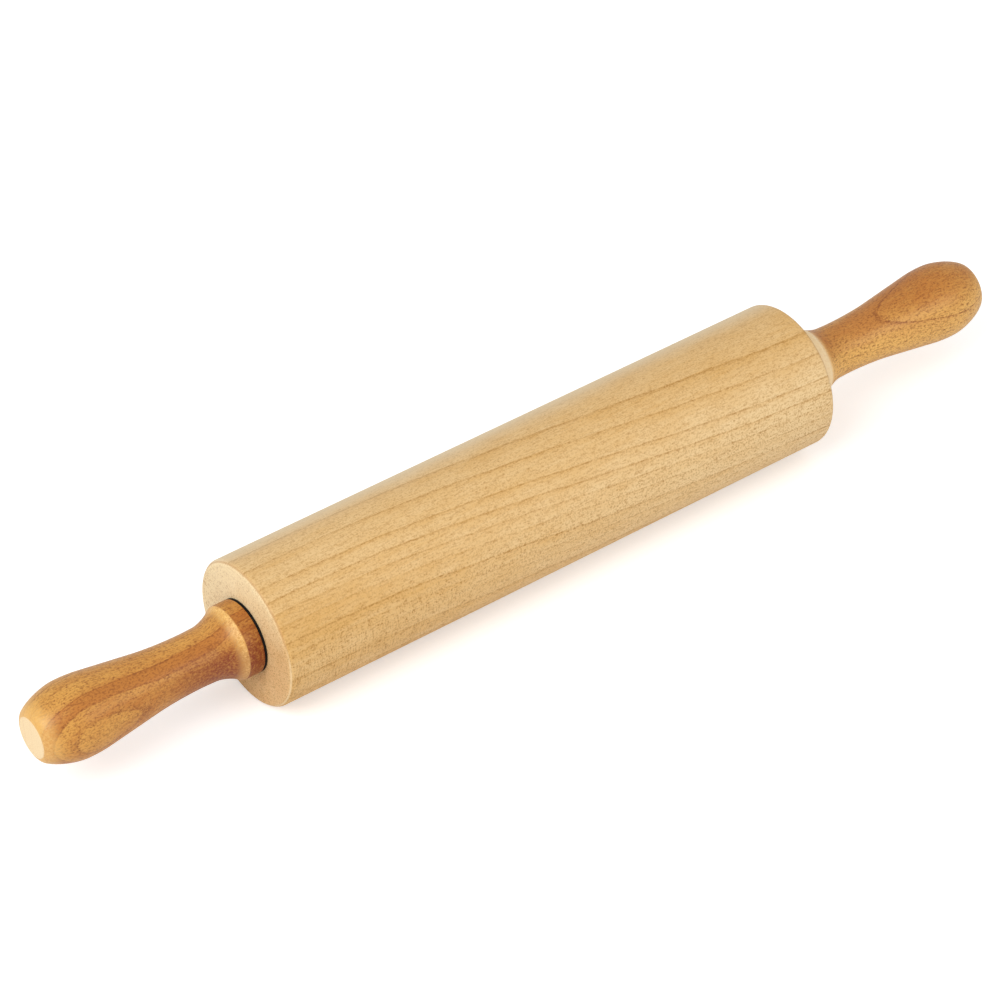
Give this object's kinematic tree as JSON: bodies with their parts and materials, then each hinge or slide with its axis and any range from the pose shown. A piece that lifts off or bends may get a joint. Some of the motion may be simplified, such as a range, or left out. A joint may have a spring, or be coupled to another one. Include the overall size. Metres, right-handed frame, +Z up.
{
  "type": "rolling pin",
  "caption": "Roller-type rolling pin: a plain wooden barrel that spins on shielded ball bearings, between two turned wooden handles on a steel rod.",
  "frame": {"origin": "on the pin's axis, at the middle of the barrel", "axes": "+X along the axis from the left handle to the right handle, +Z up, with the pin lying level"},
  "size_m": [0.5259, 0.07, 0.07],
  "materials": {
    "barrel_maple": "oiled",
    "handle_wood": "gloss lacquer",
    "bushing_nylon": "satin",
    "rod_steel": "drawn",
    "bearing_steel": "ground",
    "shield_steel": "pressed",
    "ball_chrome": "polished",
    "cage_nylon": "moulded",
    "insert_brass": "machined"
  },
  "bodies": {
    "roller": {"barrel": "barrel_maple", "left_end_bushing": "bushing_nylon", "left_outer_ring": "bearing_steel", "left_bearing_shields": "shield_steel", "right_end_bushing": "bushing_nylon", "right_outer_ring": "bearing_steel", "right_bearing_shields": "shield_steel"},
    "inner_rings": {"left_inner_ring": "bearing_steel", "right_inner_ring": "bearing_steel"},
    "ball_sets": {"bearing_balls": "ball_chrome", "left_ball_cage": "cage_nylon", "right_ball_cage": "cage_nylon"},
    "handle_set": {"centre_rod": "rod_steel", "left_handle": "handle_wood", "left_handle_insert": "insert_brass", "right_handle": "handle_wood", "right_handle_insert": "insert_brass"}
  },
  "joints": [
    {"name": "roller_spin", "type": "hinge", "parent": "roller", "child": "inner_rings", "pos_m": [0, 0, 0], "axis": [1, 0, 0], "continuous": true},
    {"name": "ball_spin", "type": "hinge", "parent": "roller", "child": "ball_sets", "pos_m": [0, 0, 0], "axis": [1, 0, 0], "continuous": true},
    {"name": "end_float", "type": "slide", "parent": "inner_rings", "child": "handle_set", "axis": [1, 0, 0], "range_m": [-0.0035, 0]}
  ],
  "couplings": [
    {"joint": "ball_spin", "follows": "roller_spin", "ratio": 0.375}
  ]
}
